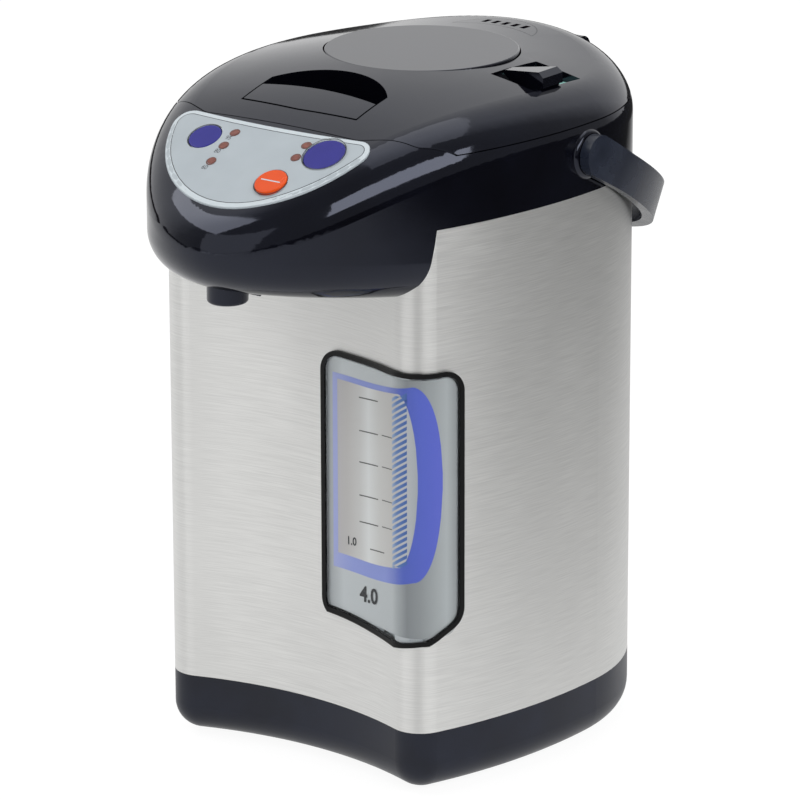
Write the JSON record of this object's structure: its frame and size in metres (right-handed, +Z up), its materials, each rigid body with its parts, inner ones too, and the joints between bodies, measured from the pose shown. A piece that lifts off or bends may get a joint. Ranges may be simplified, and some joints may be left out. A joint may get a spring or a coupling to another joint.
{
  "type": "electric thermo pot",
  "caption": "Electric thermo pot: steel body on a plastic base, black beaked head with sloping key panel, hinged lid with press plate, level gauge and swinging bail.",
  "frame": {"origin": "on the table, in the middle of the foot ring under the pot", "axes": "+Z up, -Y towards the spout, +Y towards the lid hinge, +X to the right seen from the front's left"},
  "size_m": [0.21, 0.2907, 0.3364],
  "materials": {
    "black_gloss": "gloss",
    "blue_key": "gloss",
    "board": "satin",
    "clear": "clear",
    "dark_base": "satin",
    "gauge_black": "gloss",
    "gauge_print": "satin",
    "green_mark": "satin",
    "heater": "cast",
    "inner_plastic": "satin",
    "lamp": "gloss",
    "mica": "matte",
    "motor": "satin",
    "orange_key": "gloss",
    "panel": "satin",
    "pot_steel": "satin",
    "rubber": "matte",
    "screw": "bright",
    "silicone": "matte",
    "steel": "brushed"
  },
  "bodies": {
    "pot": {"base_shell": "dark_base", "foot_ring": "rubber", "bottom_plate": "dark_base", "bottom_screws": "screw", "power_inlet": "dark_base", "steel_shell": "steel", "gauge_frame": "gauge_black", "gauge_lens": "clear", "gauge_plate": "gauge_print", "level_tube": "clear", "inner_pot": "pot_steel", "heater_plate": "heater", "thermostats": "motor", "warming_band": "mica", "pump_motor": "motor", "pump_housing": "inner_plastic", "inlet_hose": "silicone", "outlet_hose": "silicone", "spout_pipe": "silicone", "power_board": "board", "shoulder_collar": "black_gloss", "control_panel": "panel", "indicator_lenses": "lamp", "panel_board": "board", "chin_cover": "black_gloss", "spout_nozzle": "black_gloss", "hinge_block": "black_gloss", "hinge_pin": "screw"},
    "lid": {"lid_cover": "black_gloss", "lid_tray": "inner_plastic", "lid_gasket": "silicone", "steam_vent": "black_gloss", "lock_indicator": "green_mark"},
    "press_plate": {"pump_plate": "black_gloss", "pump_bellows": "silicone", "pump_spring": "screw"},
    "lock_slide": {"pump_lock": "black_gloss"},
    "latch": {"latch_lever": "black_gloss", "latch_bolt": "inner_plastic"},
    "bail": {"bail_handle": "black_gloss"},
    "dispense_button": {"dispense_key": "blue_key"},
    "temperature_button": {"temperature_key": "blue_key"},
    "reboil_button": {"reboil_key": "orange_key"},
    "cup_switch": {"cup_lever": "black_gloss"}
  },
  "joints": [
    {"name": "lid_hinge", "type": "hinge", "parent": "pot", "child": "lid", "pos_m": [0, 0.105, 0.3186], "axis": [-1, 0, 0], "range_deg": [0, 80]},
    {"name": "pump_press", "type": "slide", "parent": "lid", "child": "press_plate", "axis": [0, 0, -1], "range_m": [0, 0.018], "stiffness_N_per_m": 350, "springref_m": -0.006, "deforming": ["pump_bellows", "pump_spring"]},
    {"name": "lock_slide_move", "type": "slide", "parent": "lid", "child": "lock_slide", "axis": [0, 1, 0], "range_m": [0, 0.014]},
    {"name": "latch_lift", "type": "hinge", "parent": "lid", "child": "latch", "pos_m": [0, -0.088, 0.3215], "axis": [1, 0, 0], "range_deg": [0, 15], "stiffness_Nm_per_rad": 0.6, "springref_deg": -8.59},
    {"name": "bail_swing", "type": "hinge", "parent": "pot", "child": "bail", "pos_m": [0, 0.006, 0.2978], "axis": [-1, 0, 0], "range_deg": [-118, 0]},
    {"name": "dispense_press", "type": "slide", "parent": "pot", "child": "dispense_button", "axis": [0, 0.4664, -0.8846], "range_m": [0, 0.0008], "stiffness_N_per_m": 1200, "springref_m": -0.0006},
    {"name": "temperature_press", "type": "slide", "parent": "pot", "child": "temperature_button", "axis": [0, 0.4664, -0.8846], "range_m": [0, 0.0008], "stiffness_N_per_m": 1200, "springref_m": -0.0006},
    {"name": "reboil_press", "type": "slide", "parent": "pot", "child": "reboil_button", "axis": [0, 0.4664, -0.8846], "range_m": [0, 0.0008], "stiffness_N_per_m": 1200, "springref_m": -0.0006},
    {"name": "cup_lever_swing", "type": "hinge", "parent": "pot", "child": "cup_switch", "pos_m": [0, -0.119, 0.254], "axis": [1, 0, 0], "range_deg": [0, 12], "stiffness_Nm_per_rad": 0.05, "springref_deg": -11.46}
  ]
}
